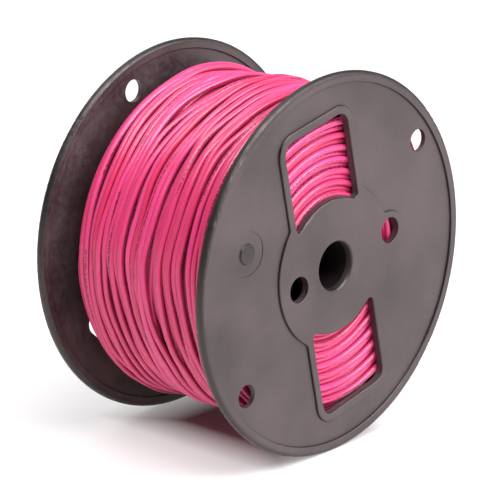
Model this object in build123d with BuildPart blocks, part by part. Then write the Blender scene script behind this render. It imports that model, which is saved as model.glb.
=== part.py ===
"""Moulded plastic reel wound with insulated building wire.

Origin: middle of the reel, on the arbor axis. +Y runs along the arbor axis from the
front flange to the rear flange, +X is to the right of somebody facing the front
flange, and +Z is up. The reel stands on the rims of its two flanges. Millimetres.
"""
from build123d import *
import os
from math import cos, degrees, hypot, radians, sin

os.makedirs("parts", exist_ok=True)

INCH = 25.4

# ---- reel, driving dimensions ----
flange_diameter = 6.5 * INCH
traverse = 3.5 * INCH  # clear width between the flanges' inner faces
hub_thickness = 1 / 8 * INCH
barrel_diameter = 2.25 * INCH
barrel_wall = 2.0
arbor_bore_diameter = 13 / 16 * INCH
arbor_tube_wall = 2.2
fit_clearance = 0.1  # radial, between the flanges' collars and what they hold

# ---- flange plate ----
field_thickness = 2.2  # plate between the raised areas
step_round = 0.55  # rounded top edge of the raised areas
front_turn = 12.3  # angle of the front moulding's own x axis, from +X towards +Z
rear_turn = 137.9  # the rear moulding is the same one, turned round

# ---- rim bead ----
bead_width = 4.5
bead_inner_stand = 0.85  # stands proud of the inner face
bead_round = 1.7
bead_lip_round = 0.5

# ---- raised hub, windows and their surrounds ----
hub_margin = 6.925  # hub's edge outside the barrel
window_width = 39.4
window_rim_margin = 19.25  # straight outer edge inside the rim
window_barrel_margin = 0.825  # inner edge outside the barrel
window_outer_corner = 5.5
window_inner_corner = 2.0
window_count = 2
surround_width = 3.8
surround_blend = 3.5  # hollow corner where a surround runs into the hub
mouth_round = 0.7

# ---- holes in the flange ----
hole_diameter = 7 / 16 * INCH  # start hole and drive hole
start_hole_margin = 7.725  # hole's centre outside the barrel
start_boss_radius = 8.6
drive_hole_margin = 4.875  # hole's centre inside the barrel
rim_hole_diameter = 10.0
rim_hole_margin = 12.85  # hole's centre inside the rim
rim_hole_angle = 26.2  # from the start hole
rim_hole_count = 2
arbor_mouth_round = 1.2
hole_mouth_round = 0.4

# ---- moulding gate mark ----
gate_margin = 25.75  # mark's centre inside the rim
gate_angle = 150
gate_dish_radius = 9.5
gate_dish_depth = 0.2
gate_boss_radius = 4.4
gate_boss_height = 0.45
gate_boss_taper = 30  # degrees

# ---- collars on the flange's inner face ----
collar_length = 7.0
collar_wall = 2.0

# ---- barrel ribs ----
rib_count = 6
rib_thickness = 1.6
rib_angle = 15
rib_end_gap = 1.0
drive_notch_depth = 14.0  # room for a drive pin behind the drive hole
drive_notch_margin = 0.4

# ---- wire ----
wire_diameter = 2.8
conductor_diameter = 1.63
winding_margin = 8.15  # top of the winding below the rim
layer_count = 16
front_full_layers = 13  # layers that reach the front flange
rear_full_layers = 12  # layers that reach the rear flange
shoulder_step = 2.1  # how much shorter each layer after those is, at that end
tail_start_angle = -70  # the wire's outer end lies on the winding, from +X towards +Z
tail_end_angle = -10
tail_offset = 6.0  # towards the rear flange
conductor_stand = 1.5  # bare conductor past the insulation
tail_clearance = 0.02
pick_tolerance = 0.01  # for choosing edges and corners by radius

# ---- worked out from those ----
half_traverse = traverse / 2
half_width = half_traverse + hub_thickness
flange_radius = flange_diameter / 2
barrel_radius = barrel_diameter / 2
hub_radius = barrel_radius + hub_margin
window_outer_edge = flange_radius - window_rim_margin
window_inner_radius = barrel_radius + window_barrel_margin
start_hole_radius = barrel_radius + start_hole_margin
drive_hole_radius = barrel_radius - drive_hole_margin
rim_hole_radius = flange_radius - rim_hole_margin
gate_radius = flange_radius - gate_margin
barrel_bore_radius = barrel_radius - barrel_wall
arbor_bore_radius = arbor_bore_diameter / 2
arbor_tube_radius = arbor_bore_radius + arbor_tube_wall
winding_radius = flange_radius - winding_margin
layer_pitch = (winding_radius - barrel_radius) / layer_count


def moulding_plane(side, turn):
    """Inner face of a flange: local +Z points out of the reel, local +X along `turn`."""
    x_dir = (cos(radians(turn)), 0, sin(radians(turn)))
    return Plane(origin=(0, side * half_traverse, 0), x_dir=x_dir, z_dir=(0, side, 0))


def from_axis(vertex):
    """Distance of a sketch's vertex from the arbor axis."""
    return hypot(vertex.X, vertex.Y)


def at_radius(sketch, radius):
    """Vertices of a sketch that lie on a circle round the arbor axis."""
    return [vertex for vertex in sketch.vertices() if abs(from_axis(vertex) - radius) < pick_tolerance]


def write(piece, label):
    piece.part.label = label
    export_step(piece.part, f"parts/{label}.step")


# ---- flanges: the same moulding at both ends ----
for label, side, turn in (("front_flange", -1, front_turn), ("rear_flange", 1, rear_turn)):
    inner_face = moulding_plane(side, turn)
    field = inner_face.offset(field_thickness)
    outward = Axis((0, 0, 0), (0, side, 0))

    with BuildPart() as flange:
        with BuildSketch(inner_face):
            Circle(flange_radius - bead_width / 2)
        extrude(amount=field_thickness)

        # gate mark: a shallow dish with a low boss in it
        with BuildSketch(field):
            with PolarLocations(gate_radius, 1, gate_angle):
                Circle(gate_dish_radius)
                Circle(gate_boss_radius, mode=Mode.SUBTRACT)
        extrude(amount=-gate_dish_depth, mode=Mode.SUBTRACT)
        with BuildSketch(field):
            with PolarLocations(gate_radius, 1, gate_angle):
                Circle(gate_boss_radius)
        extrude(amount=gate_boss_height, taper=gate_boss_taper)

        # raised hub, window surrounds and start-hole boss, in one step
        with BuildSketch(inner_face) as raised:
            Circle(hub_radius)
            with PolarLocations(0, window_count, start_angle=90):
                Rectangle(
                    window_outer_edge + surround_width,
                    window_width + 2 * surround_width,
                    align=(Align.MIN, Align.CENTER),
                )
            with Locations((start_hole_radius, 0)):
                Circle(start_boss_radius)
            outer_corners = raised.vertices().group_by(from_axis)[-1]
            fillet(outer_corners, window_outer_corner + surround_width)
            fillet(at_radius(raised, hub_radius), surround_blend)
        extrude(amount=hub_thickness)

        # windows
        with BuildSketch(inner_face) as windows:
            with PolarLocations(0, window_count, start_angle=90):
                Rectangle(window_outer_edge, window_width, align=(Align.MIN, Align.CENTER))
            Circle(window_inner_radius, mode=Mode.SUBTRACT)
            outer_corners = windows.vertices().group_by(from_axis)[-1]
            fillet(outer_corners, window_outer_corner)
            fillet(at_radius(windows, window_inner_radius), window_inner_corner)
        extrude(amount=hub_thickness, mode=Mode.SUBTRACT)

        # start hole and drive hole through the hub, rim holes through the field
        with BuildSketch(inner_face):
            Circle(arbor_bore_radius)
            with Locations((start_hole_radius, 0), (-drive_hole_radius, 0)):
                Circle(hole_diameter / 2)
            with PolarLocations(rim_hole_radius, rim_hole_count, start_angle=rim_hole_angle):
                Circle(rim_hole_diameter / 2)
        extrude(amount=hub_thickness, mode=Mode.SUBTRACT)

        # rounded edges of the windows, the holes and the step, each picked on the hub's face
        for wanted_radius, round_radius in (
            (arbor_bore_radius, arbor_mouth_round),
            (hole_diameter / 2, hole_mouth_round),
        ):
            circles = flange.edges().filter_by(GeomType.CIRCLE).group_by(outward)[-1]
            closed_circles = [circle for circle in circles if circle.is_closed]
            mouths = [circle for circle in closed_circles if abs(circle.radius - wanted_radius) < pick_tolerance]
            fillet(mouths, round_radius)
        hub_face = flange.faces().sort_by(outward)[-1]
        window_mouths = [wire for wire in hub_face.inner_wires() if len(wire.edges()) > 1]
        fillet([edge for wire in window_mouths for edge in wire.edges()], mouth_round)
        hub_face = flange.faces().sort_by(outward)[-1]
        fillet(hub_face.outer_wire().edges(), step_round)

        # rim bead, carried round the arbor axis
        bead_low = half_traverse - bead_inner_stand
        with BuildSketch(Plane.XY) as bead:
            with Locations((flange_radius - bead_width, side * (bead_low + half_width) / 2)):
                Rectangle(bead_width, half_width - bead_low, align=(Align.MIN, Align.CENTER))
            fillet(bead.vertices().group_by(Axis.X)[-1], bead_round)
            fillet(bead.vertices().group_by(Axis.X)[0], bead_lip_round)
        revolve(axis=Axis.Y)

        # collars on the inner face: one plugs into the barrel, one holds the arbor tube
        with BuildSketch(inner_face):
            Circle(barrel_bore_radius - fit_clearance)
            Circle(barrel_bore_radius - fit_clearance - collar_wall, mode=Mode.SUBTRACT)
            Circle(arbor_tube_radius + fit_clearance + collar_wall)
            Circle(arbor_tube_radius + fit_clearance, mode=Mode.SUBTRACT)
            with Locations((-drive_hole_radius, 0)):
                Circle(hole_diameter / 2 + drive_notch_margin, mode=Mode.SUBTRACT)
        extrude(amount=-collar_length)
    write(flange, label)

# ---- barrel: ribbed inside, with room for a drive pin at each end ----
with BuildPart() as barrel:
    with BuildSketch(Plane.XZ.offset(-half_traverse)):
        Circle(barrel_radius)
        Circle(barrel_bore_radius, mode=Mode.SUBTRACT)
    extrude(amount=traverse)
    rib_inner_radius = arbor_tube_radius + fit_clearance
    rib_half_length = half_traverse - max(collar_length, drive_notch_depth) - rib_end_gap
    with BuildSketch(Plane.XZ.offset(-rib_half_length)):
        with PolarLocations(0, rib_count, start_angle=rib_angle):
            with Locations((rib_inner_radius, 0)):
                Rectangle(
                    barrel_bore_radius + barrel_wall / 2 - rib_inner_radius,
                    rib_thickness,
                    align=(Align.MIN, Align.CENTER),
                )
    extrude(amount=2 * rib_half_length)
    for side, turn in ((-1, front_turn), (1, rear_turn)):
        with BuildSketch(moulding_plane(side, turn)):
            with Locations((-drive_hole_radius, 0)):
                Circle(hole_diameter / 2 + drive_notch_margin)
        extrude(amount=-drive_notch_depth, mode=Mode.SUBTRACT)
write(barrel, "barrel")

# ---- arbor tube: runs from flange to flange, its bore in line with theirs ----
with BuildPart() as arbor_tube:
    with BuildSketch(Plane.XZ.offset(-half_traverse)):
        Circle(arbor_tube_radius)
        Circle(arbor_bore_radius, mode=Mode.SUBTRACT)
    extrude(amount=traverse)
write(arbor_tube, "arbor_tube")

# ---- wire: each pass of the winding across the reel is a layer ----
for layer in range(1, layer_count + 1):
    front_end = half_traverse - shoulder_step * max(0, layer - front_full_layers)
    rear_end = half_traverse - shoulder_step * max(0, layer - rear_full_layers)
    with BuildPart() as wire_layer:
        with BuildSketch(Plane.XZ.offset(-rear_end)):
            Circle(barrel_radius + layer_pitch * layer)
            Circle(barrel_radius + layer_pitch * (layer - 1), mode=Mode.SUBTRACT)
        extrude(amount=front_end + rear_end)
    write(wire_layer, f"wire_layer_{layer:02d}")

# ---- the wire's outer end, lying on the last layer, with its conductor showing ----
tail_radius = winding_radius + wire_diameter / 2 + tail_clearance
tail_angle = tail_end_angle - tail_start_angle
tail_cos = cos(radians(tail_start_angle))
tail_sin = sin(radians(tail_start_angle))
tail_start = Plane(
    origin=(tail_radius * tail_cos, tail_offset, tail_radius * tail_sin),
    x_dir=(0, 1, 0),
    z_dir=(-tail_sin, 0, tail_cos),
)
tail_axis = Axis((0, 0, 0), (0, -1, 0))

with BuildPart() as wire_outer_end:
    with BuildSketch(tail_start):
        Circle(wire_diameter / 2)
        Circle(conductor_diameter / 2, mode=Mode.SUBTRACT)
    revolve(axis=tail_axis, revolution_arc=tail_angle)
write(wire_outer_end, "wire_outer_end")

with BuildPart() as conductor_outer_end:
    with BuildSketch(tail_start):
        Circle(conductor_diameter / 2)
    revolve(axis=tail_axis, revolution_arc=tail_angle + degrees(conductor_stand / tail_radius))
write(conductor_outer_end, "conductor_outer_end")
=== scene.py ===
from math import pi, radians

import bpy
import numpy as np
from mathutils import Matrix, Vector


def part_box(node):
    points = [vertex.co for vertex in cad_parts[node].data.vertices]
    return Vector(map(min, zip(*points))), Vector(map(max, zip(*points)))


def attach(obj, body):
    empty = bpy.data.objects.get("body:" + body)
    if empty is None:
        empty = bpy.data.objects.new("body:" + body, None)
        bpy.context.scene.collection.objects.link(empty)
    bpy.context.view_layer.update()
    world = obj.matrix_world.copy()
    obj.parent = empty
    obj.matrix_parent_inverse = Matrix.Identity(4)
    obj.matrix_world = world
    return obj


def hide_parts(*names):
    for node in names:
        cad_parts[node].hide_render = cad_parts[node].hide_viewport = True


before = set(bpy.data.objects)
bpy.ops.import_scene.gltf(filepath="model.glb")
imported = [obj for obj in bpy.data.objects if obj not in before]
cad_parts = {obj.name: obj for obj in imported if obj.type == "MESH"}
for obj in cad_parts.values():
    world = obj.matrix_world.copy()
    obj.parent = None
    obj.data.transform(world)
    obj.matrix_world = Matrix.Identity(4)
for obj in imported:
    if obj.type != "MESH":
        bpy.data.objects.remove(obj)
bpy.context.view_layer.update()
body = "root"
mm = 0.001

# the reel's sizes, from the frame: it lies across the Y axis and stands on its rims
flangeLow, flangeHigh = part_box("front_flange")
flangeRadius = flangeHigh.x
outerFace = -flangeLow.y
floorZ = flangeLow.z
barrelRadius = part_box("barrel")[1].x
layerCount = sum(name.startswith("wire_layer_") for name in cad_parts)
print(f"frame loaded: a reel of {2 * flangeRadius / mm:.1f} mm with {layerCount} layers of wire")

cameraSettings = {
    "place": (-0.82694, -0.74679, 0.34193),
    "target": (-0.0029, 0.0, 0.0009),
    "lens": 197.72,
    "sensor": 36.0,
}


def makeCamera(settings):
    # stands at its place; its view axis runs from there to the target, and its top points up
    data = bpy.data.cameras.new("camera")
    data.sensor_width = settings["sensor"]
    data.lens = settings["lens"]
    data.clip_end = 50
    eye = bpy.data.objects.new("camera", data)
    bpy.context.scene.collection.objects.link(eye)
    look = Vector(settings["target"]) - Vector(settings["place"])
    eye.location = settings["place"]
    eye.rotation_euler = look.to_track_quat("-Z", "Y").to_euler()
    bpy.context.scene.camera = eye


makeCamera(cameraSettings)
print("camera set")

# how the wire lies on the barrel; angles go from +X towards +Z, in degrees
winding = {
    "diameter": 2.8 * mm,
    "stations": 180,           # points round one turn
    "startAngle": 25,          # where each turn starts
    "fullSpacing": 2.80 * mm,  # turn to turn, in the layers that nobody sees
    "topSpacing": 2.92 * mm,   # turn to turn, in the outer layers
    "topLayers": 3,
    "fullPacking": 0.985,      # closest that two turns of a layer lie, in diameters
    "topPacking": 0.88,        # outer layers are pressed together, and some turns ride on others
    "unevenness": 1.3,         # how far the spare width gathers into a few gaps
    "softest": 3.0,            # waves of that unevenness round the turn
    "across": 0.35,            # and across the reel, for each turn of the layer
    "spareRows": 8,            # rows of that noise past the last turn, so its two ends don't match
    "touch": 0.97,             # nearer than this, in diameters, one turn carries or lifts another
    "settle": 1.2 * mm,        # the most that turns pile up above their layer
    "crossFrom": 300,          # where in a turn the wire steps over to the next groove
    "crossSpan": 55,
    "bridging": 6.0,           # angle that the wire spans without dipping
    "climb": 25,               # angle over which it climbs on to the next layer
    "looksBack": 120,          # turns under a new one that can carry it
    "ramp": 25,                # how softly gaps and short ends begin and end
    "seed": 7,
    "sides": (8, 14),          # round the wire, in the hidden layers and in the outer ones
    # gaps in the outer layer: place across the reel, first and last angle, width
    "gaps": [
        (-7 * mm, 122, 215, 4.2 * mm),
        (11 * mm, 55, 132, 4.4 * mm),
        (-25 * mm, 150, 215, 2.0 * mm),
        (29 * mm, 120, 175, 1.6 * mm),
        (18 * mm, 170, 250, 2.4 * mm),
        (6 * mm, 138, 180, 1.6 * mm),
    ],
    # where the outer layers stop short of a flange: its side, first and last angle, width
    "shortEnds": [
        (-1, 10, 70, 1.2 * mm),
        (1, 180, 235, 1.2 * mm),
    ],
    "shortLayers": (7, 4),     # that begins so many layers from the outside, and is full so many on
}
outerEnd = {
    "leaves": 212,             # where in its last turn the wire leaves its groove
    "arrives": 285,
    "across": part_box("wire_outer_end")[0].y + 1.4 * mm,
    "pieceFrom": 265,          # from here on it is a piece of its own
    "ends": 325,
    "sides": 24,
}


def smoothStep(x):
    # 3x^2 - 2x^3, which leaves 0 and reaches 1 without a corner
    x = np.clip(x, 0, 1)
    return x * x * (3 - 2 * x)


def between(angles, start, end, ramp):
    # 1 from the first angle to the last one, with a smooth ramp to 0 inside each
    return smoothStep((angles - start) / ramp) * smoothStep((end - angles) / ramp)


def softNoise(random, rows, columns, rowWaves, columnWaves):
    # white noise whose Fourier transform is multiplied by a bell, which takes the short waves out:
    # smooth, and joins up round the turn
    waves = np.fft.rfft2(random.normal(size=(rows, columns)))
    rowWave = np.fft.fftfreq(rows)[:, None] * rows
    columnWave = np.fft.rfftfreq(columns)[None, :] * columns
    waves *= np.exp(-((rowWave / rowWaves) ** 2) - (columnWave / columnWaves) ** 2)
    soft = np.fft.irfft2(waves, s=(rows, columns))
    return soft / soft.std()


def layerGrooves(low, high, spacing, tight, settings, gaps, random, worldAngles):
    # places of a layer's turns across the reel, added up from the low end: every turn takes its own
    # width, named gaps take theirs, and the rest of the width is shared out by weights, e to the
    # power of smooth noise, so gaps open and close round the turn
    count = int(round(np.mean(high - low) / spacing))
    rows = count + settings["spareRows"]
    noise = softNoise(random, rows, len(worldAngles), settings["across"] * count, settings["softest"])
    weights = np.exp(settings["unevenness"] * noise[:count])
    named = np.zeros((count, len(worldAngles)))
    for place, start, end, width in gaps:
        turn = int(round(np.mean((place - low) / (high - low)) * count)) - 1
        named[turn] += width * between(worldAngles, start, end, settings["ramp"])
    spare = np.maximum(high - low - tight * count - named.sum(0), 0)
    steps = tight + named + spare * weights / weights.sum(0)
    return low + np.vstack([np.zeros(len(worldAngles)), np.cumsum(steps, 0)])


def touching(radiusUnder, apart, settings):
    # how far out a turn's centre is when it rests on another: two equal circles that touch have their
    # centres a diameter apart, so the height is the root of diameter squared less sideways squared
    height = np.sqrt(np.maximum(settings["diameter"] ** 2 - apart**2, 0))
    return np.where(apart < settings["diameter"] * settings["touch"], radiusUnder + height, 0)


def layWire(settings, across, owners, layerRadii):
    # the wire's distance from the axis, turn by turn: each turn rests on the highest turn under it and
    # bridges short dips, because it is stiff (the highest value nearby, then a bell-shaped average);
    # a turn pressed against its neighbour rides up on it, unless that one is up already
    stations = settings["stations"]
    angles = np.arange(stations) * 360 / stations
    climb = smoothStep(angles / settings["climb"])
    reach = int(round(settings["bridging"] / 360 * stations))
    kernel = np.hanning(2 * reach + 3)[1:-1]
    kernel = kernel / kernel.sum()
    radii = np.zeros_like(across)
    lifted = np.zeros_like(across)
    for turn, line in enumerate(across):
        radius = np.full(stations, barrelRadius + settings["diameter"] / 2)
        first = max(0, turn - settings["looksBack"])
        under = np.flatnonzero(owners[first:turn] < owners[turn]) + first
        if len(under):
            carried = touching(radii[under], np.abs(across[under] - line), settings)
            radius = np.maximum(radius, carried.max(0))
        if turn and owners[turn - 1] == owners[turn]:
            push = touching(0, np.abs(across[turn - 1] - line), settings)
            lifted[turn] = np.maximum(push - lifted[turn - 1], 0)
            radius = radius + lifted[turn]
        around = np.concatenate([radius[-2 * reach:], radius, radius[: 2 * reach]])
        bridged = np.lib.stride_tricks.sliding_window_view(around, 2 * reach + 1).max(1)
        radius = np.convolve(bridged, kernel, "valid")
        # what piles up above the layer flattens out: settle x tanh(piled / settle)
        piled = np.maximum(radius - layerRadii[owners[turn]], 0)
        radius = radius - piled + settings["settle"] * np.tanh(piled / settings["settle"])
        if turn:
            radius = radii[turn - 1][-1] + (radius - radii[turn - 1][-1]) * climb
        radii[turn] = radius
    return radii


def windReel(settings, end):
    # places across the reel and distances from the axis for every turn: layers run to and fro, each
    # turn slides from its groove to the next one along a smooth step, and the last turn to the flange
    random = np.random.default_rng(settings["seed"])
    angles = np.arange(settings["stations"]) * 360 / settings["stations"]
    worldAngles = (angles + settings["startAngle"]) % 360
    tube = settings["diameter"]
    shortFrom, shortSpan = settings["shortLayers"]
    lines, owners, layerRadii = [], [], []
    for number in range(layerCount):
        low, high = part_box(f"wire_layer_{number + 1:02d}")
        layerRadii.append(high.z - tube / 2)
        top = number >= layerCount - settings["topLayers"]
        spacing = settings["topSpacing"] if top else settings["fullSpacing"]
        tight = tube * (settings["topPacking"] if top else settings["fullPacking"])
        gaps = settings["gaps"] if number == layerCount - 1 else ()
        room = tube / 2 + (number % 2) * spacing / 2
        ends = [low.y + room, high.y - room]
        for side, start, stop, width in settings["shortEnds"]:
            share = smoothStep((number - layerCount + shortFrom) / shortSpan)
            drawn = width * between(worldAngles, start, stop, settings["ramp"]) * share
            ends[side > 0] = ends[side > 0] - side * drawn
        grooves = layerGrooves(ends[0], ends[1], spacing, tight, settings, gaps, random, worldAngles)
        lines.append(grooves[::-1] if number % 2 else grooves)
        owners.append(np.full(len(grooves), number))
    lines = np.vstack(lines)
    cross = smoothStep((angles - settings["crossFrom"]) / settings["crossSpan"])
    across = lines * (1 - cross) + np.vstack([lines[1:], lines[-1:]]) * cross
    away = smoothStep((angles - end["leaves"]) / (end["arrives"] - end["leaves"]))
    across = np.vstack([across, lines[-1] * (1 - away) + end["across"] * away])
    owners.append([layerCount])
    layerRadii.append(layerRadii[-1] + tube)
    owners = np.concatenate(owners)
    return across, layWire(settings, across, owners, layerRadii), owners


across, radii, owners = windReel(winding, outerEnd)
wireLength = radii.sum() * radians(360 / winding["stations"])
outermost = (radii.max() + winding["diameter"] / 2) / mm
print(f"wire laid: {len(across)} turns, {wireLength:.1f} m, out to {outermost:.1f} mm")


def meshFromGrid(name, points, along=None):
    # a grid of points, rows along the path and columns round it: each four neighbours make a face, the
    # columns join up and the ends get a flat face; UV is the length along the path, and the share of
    # the way round it
    rows, columns = points.shape[:2]
    row = np.arange(rows - 1)[:, None]
    column = np.arange(columns)[None, :]
    after = (column + 1) % columns
    corners = (row * columns + column, row * columns + after,
               (row + 1) * columns + after, (row + 1) * columns + column)
    quads = np.stack(np.broadcast_arrays(*corners), -1).reshape(-1, 4)
    caps = np.array([np.arange(columns)[::-1], (rows - 1) * columns + np.arange(columns)])
    starts = np.concatenate([np.arange(len(quads)) * 4, len(quads) * 4 + np.array([0, columns])])
    loops = np.concatenate([quads.reshape(-1), caps.reshape(-1)])
    smooth = np.concatenate([np.ones(len(quads), bool), np.zeros(len(caps), bool)])
    mesh = bpy.data.meshes.new(name)
    mesh.vertices.add(rows * columns)
    mesh.vertices.foreach_set("co", points.reshape(-1).astype(np.float32))
    mesh.loops.add(len(loops))
    mesh.loops.foreach_set("vertex_index", loops.astype(np.int32))
    mesh.polygons.add(len(starts))
    mesh.polygons.foreach_set("loop_start", starts.astype(np.int32))
    mesh.polygons.foreach_set("use_smooth", smooth)
    if along is not None:
        u = np.stack([along[row], along[row], along[row + 1], along[row + 1]], -1)
        v = np.stack([column, column + 1, column + 1, column], -1) / columns
        flat = np.stack(np.broadcast_arrays(u, v), -1).reshape(-1, 2)
        flat = np.concatenate([flat, np.zeros((caps.size, 2))])
        layer = mesh.uv_layers.new(name="wire")
        layer.data.foreach_set("uv", flat.reshape(-1).astype(np.float32))
    mesh.update(calc_edges=True)
    mesh.validate()
    return mesh


def tubePoints(angle, along, radius, thickness, sides):
    # a circle carried along the wire's line: its plane is square to the line and holds the direction
    # out from the axis, so the first point of each circle is the outermost one
    turn = np.radians(angle)
    outward = np.stack([np.cos(turn), 0 * turn, np.sin(turn)], -1)
    line = outward * radius[:, None] + np.stack([0 * turn, along, 0 * turn], -1)
    heading = np.gradient(line, axis=0)
    heading /= np.linalg.norm(heading, axis=1)[:, None]
    sideways = np.cross(heading, outward)
    sideways /= np.linalg.norm(sideways, axis=1)[:, None]
    upright = np.cross(sideways, heading)
    around = (np.arange(sides) * 2 * np.pi / sides)[None, :, None]
    ring = upright[:, None] * np.cos(around) + sideways[:, None] * np.sin(around)
    return line[:, None] + ring * thickness / 2, line


def addPiece(mesh, name, replaced, material):
    # puts a finished mesh in the scene in place of its CAD node
    piece = bpy.data.objects.new(name, mesh)
    bpy.context.scene.collection.objects.link(piece)
    mesh.materials.append(material)
    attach(piece, body)
    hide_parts(replaced)


class Shader:
    # short names for building a material's nodes; a value is a number, a colour or a node's output
    def __init__(self, name):
        self.material = bpy.data.materials.new(name)
        self.material.use_nodes = True
        self.nodes = self.material.node_tree.nodes
        self.links = self.material.node_tree.links
        self.surface = self.nodes["Principled BSDF"]

    def node(self, kind, inputs=(), **settings):
        # a node of one kind, with its settings and its inputs
        made = self.nodes.new(kind)
        for key, value in settings.items():
            setattr(made, key, value)
        for key, value in dict(inputs).items():
            self.plug(made.inputs[key], value)
        return made

    def plug(self, socket, value):
        # links an output, or sets a value
        if isinstance(value, bpy.types.NodeSocket):
            self.links.new(value, socket)
        else:
            socket.default_value = value

    def math(self, operation, a, b=0.0, c=0.0):
        # one sum of up to three values
        return self.node("ShaderNodeMath", {0: a, 1: b, 2: c}, operation=operation).outputs[0]

    def noise(self, place, scale, detail=2.0, roughness=0.5):
        # soft noise from 0 to 1 in space, about as many patches to the metre as the scale says
        inputs = {"Vector": place, "Scale": scale, "Detail": detail, "Roughness": roughness}
        return self.node("ShaderNodeTexNoise", inputs, noise_dimensions="3D").outputs["Fac"]

    def noiseAlong(self, length, scale, detail=2.0, roughness=0.5):
        # the same along a line
        inputs = {"W": length, "Scale": scale, "Detail": detail, "Roughness": roughness}
        return self.node("ShaderNodeTexNoise", inputs, noise_dimensions="1D").outputs["Fac"]

    def between(self, value, low, high, toLow=0.0, toHigh=1.0):
        # a straight line from toLow at low to toHigh at high, level past both
        inputs = {"Value": value, "From Min": low, "From Max": high, "To Min": toLow, "To Max": toHigh}
        return self.node("ShaderNodeMapRange", inputs).outputs["Result"]

    def mix(self, factor, first, second):
        # the first colour at 0, the second one at 1
        made = self.node("ShaderNodeMix", data_type="RGBA")
        self.plug(made.inputs[0], factor)
        self.plug(made.inputs[6], first)
        self.plug(made.inputs[7], second)
        return made.outputs[2]

    def position(self):
        # the point's place on the object, in metres
        return self.node("ShaderNodeTexCoord").outputs["Object"]

    def apart(self, vector):
        # its three numbers
        return self.node("ShaderNodeSeparateXYZ", {0: vector}).outputs

    def set(self, **inputs):
        # inputs of the surface, with _ for the space in a name
        for key, value in inputs.items():
            self.plug(self.surface.inputs[key.replace("_", " ")], value)

    def bump(self, height, strength, distance):
        # tilts the surface by the slope of the height
        inputs = {"Height": height, "Strength": strength, "Distance": distance}
        self.set(Normal=self.node("ShaderNodeBump", inputs).outputs["Normal"])


# soft pink insulation, dusty in streaks, with a line of short printed marks
wireFinish = {
    "pink": (0.70, 0.050, 0.198, 1),
    "deepPink": (0.55, 0.022, 0.092, 1),
    "shades": 1.7,                # changes of shade for each metre of wire
    "dust": (0.42, 0.05, 0.10, 1),
    "dustAmount": 0.35,
    "dusty": 5.0,                 # dusty stretches for each metre
    "streaks": 90,                # streaks in them
    "ink": (0.13, 0.008, 0.022, 1),
    "inkAmount": 0.85,
    "lineWidth": 0.045,           # half the printed line's width, as a share of the way round
    "wander": (0.9, 5.0),         # how often and how far the line twists round the wire
    "marks": (900, 0.46),         # noise scale, and the level above which there is a mark
    "groups": (17, 0.43),         # the same for the groups that the marks stand in
    "groove": 0.0,                # painted shade: how much deeper the colour is between the turns
    "grooveShadeRed": (0.26, 0.004, 0.028, 1),
    "grooveShadeFrom": (0.15, 0.62),   # cosine of the place round the wire where the painted shade is deepest, and where it ends
    "gloss": 0.25,
    "dullness": 0.25,             # how much rougher the dust is
    "sheenAmount": 0.06,
    "sheen": (1.0, 0.80, 0.92, 1),
    "ripple": 160,
    "grain": 1400,
    "bumpAmount": 0.12,
    "bumpDepth": 0.4 * mm,
}


def wireMaterial(name, finish):
    # pink mixed with deep pink by noise along the wire, then with dust, ink and the red of painted
    # shade between the turns, where each one's mask is; the UV map gives the length along the wire in
    # metres, and the way round it
    shader = Shader(name)
    uv = shader.node("ShaderNodeUVMap", uv_map="wire").outputs[0]
    along, turned, _ = shader.apart(uv)
    shade = shader.noiseAlong(along, finish["shades"], 2.0, 0.6)
    colour = shader.mix(shader.between(shade, 0.38, 0.68), finish["pink"], finish["deepPink"])
    # dust: long stretches times streaks; a circle stands for the way round, so the streaks close
    turn = shader.math("MULTIPLY", turned, 2 * pi)
    outward = shader.math("COSINE", turn)
    circle = shader.node("ShaderNodeCombineXYZ", {0: shader.math("MULTIPLY", along, finish["streaks"]),
                                                  1: outward, 2: shader.math("SINE", turn)})
    stretches = shader.between(shader.noiseAlong(along, finish["dusty"], 3.0, 0.6), 0.48, 0.68)
    streaks = shader.between(shader.noise(circle.outputs[0], 1.0, 3.0, 0.6), 0.40, 0.70)
    dusty = shader.math("MULTIPLY", stretches, streaks)
    colour = shader.mix(shader.math("MULTIPLY", dusty, finish["dustAmount"]), colour, finish["dust"])
    # print: short marks in groups, on a line that twists slowly round the wire
    often, far = finish["wander"]
    twist = shader.math("MULTIPLY_ADD", shader.noiseAlong(along, often, 1.0), far, turned)
    offLine = shader.math("ABSOLUTE", shader.math("SUBTRACT", shader.math("FRACT", twist), 0.5))
    printed = shader.math("LESS_THAN", offLine, finish["lineWidth"])
    for scale, share in (finish["marks"], finish["groups"]):
        here = shader.math("GREATER_THAN", shader.noiseAlong(along, scale, 1.0), share)
        printed = shader.math("MULTIPLY", printed, here)
    colour = shader.mix(shader.math("MULTIPLY", printed, finish["inkAmount"]), colour, finish["ink"])
    # painted shade deepens the colour between turns; the cosine round the wire is 1 on its outside
    groove = shader.between(outward, *finish["grooveShadeFrom"], finish["groove"], 0)
    colour = shader.mix(groove, colour, finish["grooveShadeRed"])
    rough = shader.between(dusty, 0, 1, finish["gloss"], finish["gloss"] + finish["dullness"])
    shader.set(Base_Color=colour, Roughness=rough, Specular_IOR_Level=0.5,
               Sheen_Weight=finish["sheenAmount"], Sheen_Tint=finish["sheen"])
    ripple = shader.noiseAlong(along, finish["ripple"])
    grain = shader.noise(shader.position(), finish["grain"])
    shader.bump(shader.math("ADD", ripple, grain), finish["bumpAmount"], finish["bumpDepth"])
    return shader.material
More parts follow.
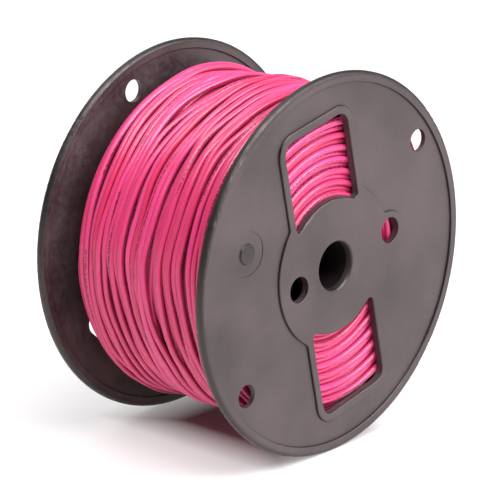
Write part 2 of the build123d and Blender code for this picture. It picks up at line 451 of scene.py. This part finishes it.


# dark grey moulded plastic, cloudy and a little mottled, with painted shade at the rims and the steps
plasticFinish = {
    "grey": (0.008, 0.0055, 0.006, 1),
    "light": (0.066, 0.047, 0.049, 1),
    "clouds": (24, 0.32, 0.68, 0.8),         # noise scale, its low and high, and its share of the tone
    "mottle": (420, 0.35, 0.65, 0.2),
    # painted shade: the near-black laid on the rims and on the steps
    "edge": (0.002, 0.0015, 0.0015, 1),
    "rimShadeFrom": 2.4 * mm,                    # in from the rim, where the painted shade on its edge begins
    "rimShadeTo": 0.6 * mm,
    "stepTop": (0.02 * mm, 0.20 * mm),       # under the outer faces, where the painted shade on the step begins
    "stepFoot": (0.86 * mm, 0.97 * mm),      # and where it ends
    "rough": (0.28, 0.60),
    "glossLevel": 0.68,
    "shine": (1.0, 0.84, 0.81, 1),
    "waves": 90,
    "waveHeight": 2.0,                       # of the waves, beside the grain
    "grain": 2600,
    "bumpAmount": 0.20,
    "bumpDepth": 0.3 * mm,
}


def reelMaterial(name, finish):
    # grey mixed with light grey by cloudy and mottled noise, then with black as painted shade on the
    # rims and on the steps between the flange's two levels
    shader = Shader(name)
    place = shader.position()
    scale, low, high, share = finish["clouds"]
    cloudy = shader.noise(place, scale, 4.0, 0.55)
    clouds = shader.between(cloudy, low, high, 0, share)
    scale, low, high, share = finish["mottle"]
    mottled = shader.noise(place, scale, 3.0, 0.6)
    tone = shader.math("ADD", clouds, shader.between(mottled, low, high, 0, share))
    x, y, z = shader.apart(place)
    # out from the axis: the root of x squared and z squared
    squares = shader.math("ADD", shader.math("MULTIPLY", x, x), shader.math("MULTIPLY", z, z))
    out = shader.math("SQRT", squares)
    # painted shade: the plastic darkens towards the rim
    edge = shader.between(out, flangeRadius - finish["rimShadeFrom"], flangeRadius - finish["rimShadeTo"])
    # painted shade on the steps between the flange's two levels
    deep = shader.math("SUBTRACT", outerFace, shader.math("ABSOLUTE", y))
    underTop = shader.between(deep, *finish["stepTop"])
    aboveFoot = shader.between(deep, *finish["stepFoot"], 1, 0)
    paintedShade = shader.math("MAXIMUM", edge, shader.math("MULTIPLY", underTop, aboveFoot))
    colour = shader.mix(paintedShade, shader.mix(tone, finish["grey"], finish["light"]), finish["edge"])
    rough = shader.between(shader.math("ADD", cloudy, mottled), 0.75, 1.25, *finish["rough"])
    shader.set(Base_Color=colour, Roughness=rough,
               Specular_IOR_Level=finish["glossLevel"], Specular_Tint=finish["shine"])
    waves = shader.noise(place, finish["waves"], 3.0)
    grain = shader.noise(place, finish["grain"])
    height = shader.math("MULTIPLY_ADD", waves, finish["waveHeight"], grain)
    shader.bump(height, finish["bumpAmount"], finish["bumpDepth"])
    return shader.material


copperFinish = {
    "bright": (0.80, 0.36, 0.20, 1),
    "brown": (0.62, 0.25, 0.13, 1),
    "patches": 900,
    "grain": 2500,
    "rough": (0.22, 0.40),
}


def copperMaterial(name, finish):
    # bare metal, bright mixed with brown by noise, and rougher where a finer noise is high
    shader = Shader(name)
    place = shader.position()
    colour = shader.mix(shader.noise(place, finish["patches"]), finish["bright"], finish["brown"])
    rough = shader.between(shader.noise(place, finish["grain"]), 0.3, 0.7, *finish["rough"])
    shader.set(Base_Color=colour, Roughness=rough, Metallic=1)
    return shader.material


wirePink = wireMaterial("pinkInsulation", wireFinish)
# the outer layers get a copy of the pink with painted shade between the turns
grooveShadedPink = wireMaterial("pinkInsulationGrooveShaded", {**wireFinish, "groove": 0.75})
reelGrey = reelMaterial("greyPlastic", plasticFinish)
# a darker, duller copy of the plastic for the arbor tube: painted shade in the bore
shadedTubeFinish = {**plasticFinish, "light": (0.014, 0.010, 0.010, 1), "glossLevel": 0.15}
shadedTubeGrey = reelMaterial("shadedBorePlastic", shadedTubeFinish)
bareCopper = copperMaterial("bareCopper", copperFinish)
for name in ("front_flange", "rear_flange", "barrel", "arbor_tube"):
    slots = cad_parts[name].data.materials
    slots.clear()
    slots.append(shadedTubeGrey if name == "arbor_tube" else reelGrey)
print("materials made, plastic put on the reel")

# the wire as one line, station by station, and the stretches that are pieces of their own
step = 360 / winding["stations"]
allAngles = winding["startAngle"] + np.arange(across.size) * step
allAcross = across.reshape(-1)
allRadii = radii.reshape(-1)
layerStarts = np.searchsorted(owners, np.arange(layerCount + 1)) * winding["stations"]
tailStart = int(layerStarts[-1] + outerEnd["pieceFrom"] / step)
tailEnd = int(layerStarts[-1] + outerEnd["ends"] / step)


def wirePiece(name, node, first, last, sides, startLength, material):
    # the stretch of the wire from one station to another, as one tube
    here = slice(first, last + 1)
    points, line = tubePoints(allAngles[here], allAcross[here], allRadii[here],
                              winding["diameter"], sides)
    lengths = startLength + np.append(0, np.cumsum(np.linalg.norm(np.diff(line, axis=0), axis=1)))
    mesh = meshFromGrid(name, points, lengths)
    addPiece(mesh, name, node, material)
    return lengths[-1]


reached = 0.0
for number in range(layerCount):
    first = layerStarts[number]
    last = tailStart if number == layerCount - 1 else layerStarts[number + 1]
    outer = number >= layerCount - winding["topLayers"]
    reached = wirePiece(f"wireLayer{number + 1:02d}", f"wire_layer_{number + 1:02d}", first, last,
                        winding["sides"][outer], reached, grooveShadedPink if outer else wirePink)
reached = wirePiece("wireOuterEnd", "wire_outer_end", tailStart, tailEnd, outerEnd["sides"], reached,
                    grooveShadedPink)
print(f"wire pieces made, {reached:.1f} m to the cut end")

# the bare wire at the cut end
conductor = {
    "diameter": 1.63 * mm,
    "stand": 2.4 * mm,    # out of the insulation
    "inside": 6 * mm,     # and back into it
    "edge": 0.2 * mm,     # rounding of the cut edge
    "rings": 12,
    "edgeRings": 5,
    "sides": 24,
}


def makeConductor(settings):
    # a rod that goes on along the wire's line, narrowed at its end along a quarter circle
    quarter = np.linspace(0.25, 1, settings["edgeRings"]) * pi / 2
    straightTo = settings["stand"] - settings["edge"]
    reach = np.concatenate([np.linspace(-settings["inside"], straightTo, settings["rings"]),
                            settings["stand"] - settings["edge"] * (1 - np.sin(quarter))])
    narrow = np.concatenate([np.zeros(settings["rings"]), settings["edge"] * (1 - np.cos(quarter))])
    radius = allRadii[tailEnd]
    angle = allAngles[tailEnd] + np.degrees(reach / radius)
    level = np.ones(len(reach))
    points, line = tubePoints(angle, level * allAcross[tailEnd], level * radius, 2.0,
                              settings["sides"])
    spokes = points - line[:, None]   # one metre long, so they only need the rod's radius
    points = line[:, None] + spokes * (settings["diameter"] / 2 - narrow)[:, None, None]
    mesh = meshFromGrid("conductorOuterEnd", points)
    addPiece(mesh, "conductorOuterEnd", "conductor_outer_end", bareCopper)


makeConductor(conductor)
print("conductor made")

floorPaper = {
    "size": 8.0,
    "colour": (0.46, 0.435, 0.430, 1),
    "rough": 0.7,
    # painted light: the sheet glows though it is no lamp, and lights the reel from below
    "paintedGlow": 0.54,
    "under": (0.040, 0.060),   # half the patch under the reel where the glow has faded out, a painted shadow
    "fadeFrom": 0.4,           # in shares of that patch
}


def makeFloor(settings):
    # a flat sheet under the rims that glows as painted light; its glow rises from 0 with the larger of
    # x and y, each divided by its half of the patch, which leaves a painted shadow at the reel's foot
    half = settings["size"] / 2
    mesh = bpy.data.meshes.new("floor")
    corners = [(-half, -half), (half, -half), (half, half), (-half, half)]
    mesh.from_pydata([(x, y, floorZ) for x, y in corners], [], [(0, 1, 2, 3)])
    floor = bpy.data.objects.new("floor", mesh)
    bpy.context.scene.collection.objects.link(floor)
    shader = Shader("floorPaper")
    x, y, _ = shader.apart(shader.position())
    beside = shader.math("DIVIDE", shader.math("ABSOLUTE", x), settings["under"][0])
    before = shader.math("DIVIDE", shader.math("ABSOLUTE", y), settings["under"][1])
    clear = shader.math("MAXIMUM", beside, before)
    paintedGlow = shader.between(clear, settings["fadeFrom"], 1.0, 0, settings["paintedGlow"])
    shader.set(Base_Color=settings["colour"], Roughness=settings["rough"],
               Emission_Color=(1, 1, 1, 1), Emission_Strength=paintedGlow)
    mesh.materials.append(shader.material)


makeFloor(floorPaper)

# the key lamp stands in front on the right, the top one over the reel, the rear one behind it
lamps = {
    "key": {"place": (0.7, -1.6, 1.3), "size": 1.4, "power": 72, "colour": (0.92, 0.95, 1.0)},
    "top": {"place": (-0.35, -0.45, 1.5), "size": 1.0, "power": 32, "colour": (0.95, 0.96, 1.0)},
    "rear": {"place": (0.3, 1.4, 1.5), "size": 1.6, "power": 9, "colour": (1.0, 1.0, 1.0)},
}


def addLamp(name, settings):
    # a square soft lamp that faces the reel
    data = bpy.data.lights.new(name, "AREA")
    data.size = settings["size"]
    data.energy = settings["power"]
    data.color = settings["colour"]
    lamp = bpy.data.objects.new(name, data)
    bpy.context.scene.collection.objects.link(lamp)
    lamp.location = settings["place"]
    lamp.rotation_euler = (-Vector(settings["place"])).to_track_quat("-Z", "Y").to_euler()


for name, settings in lamps.items():
    addLamp(name, settings)

sky = {"bright": 0.42, "dim": 0.16, "brightSide": (0.6, 0.1, 0.79)}


def addSky(settings):
    # white light from all round, in a straight line from dim to bright with the cosine of the angle
    # to the bright side
    world = bpy.data.worlds.new("sky")
    bpy.context.scene.world = world
    world.use_nodes = True
    nodes, links = world.node_tree.nodes, world.node_tree.links
    facing = nodes.new("ShaderNodeVectorMath")
    facing.operation = "DOT_PRODUCT"
    links.new(nodes.new("ShaderNodeTexCoord").outputs["Generated"], facing.inputs[0])
    facing.inputs[1].default_value = settings["brightSide"]
    strength = nodes.new("ShaderNodeMapRange")
    links.new(facing.outputs["Value"], strength.inputs["Value"])
    span = {"From Min": -1, "From Max": 1, "To Min": settings["dim"], "To Max": settings["bright"]}
    for name, value in span.items():
        strength.inputs[name].default_value = value
    links.new(strength.outputs["Result"], nodes["Background"].inputs["Strength"])
    nodes["Background"].inputs["Color"].default_value = (1, 1, 1, 1)


addSky(sky)
bpy.context.scene.view_settings.view_transform = "Standard"
print("floor and light set")
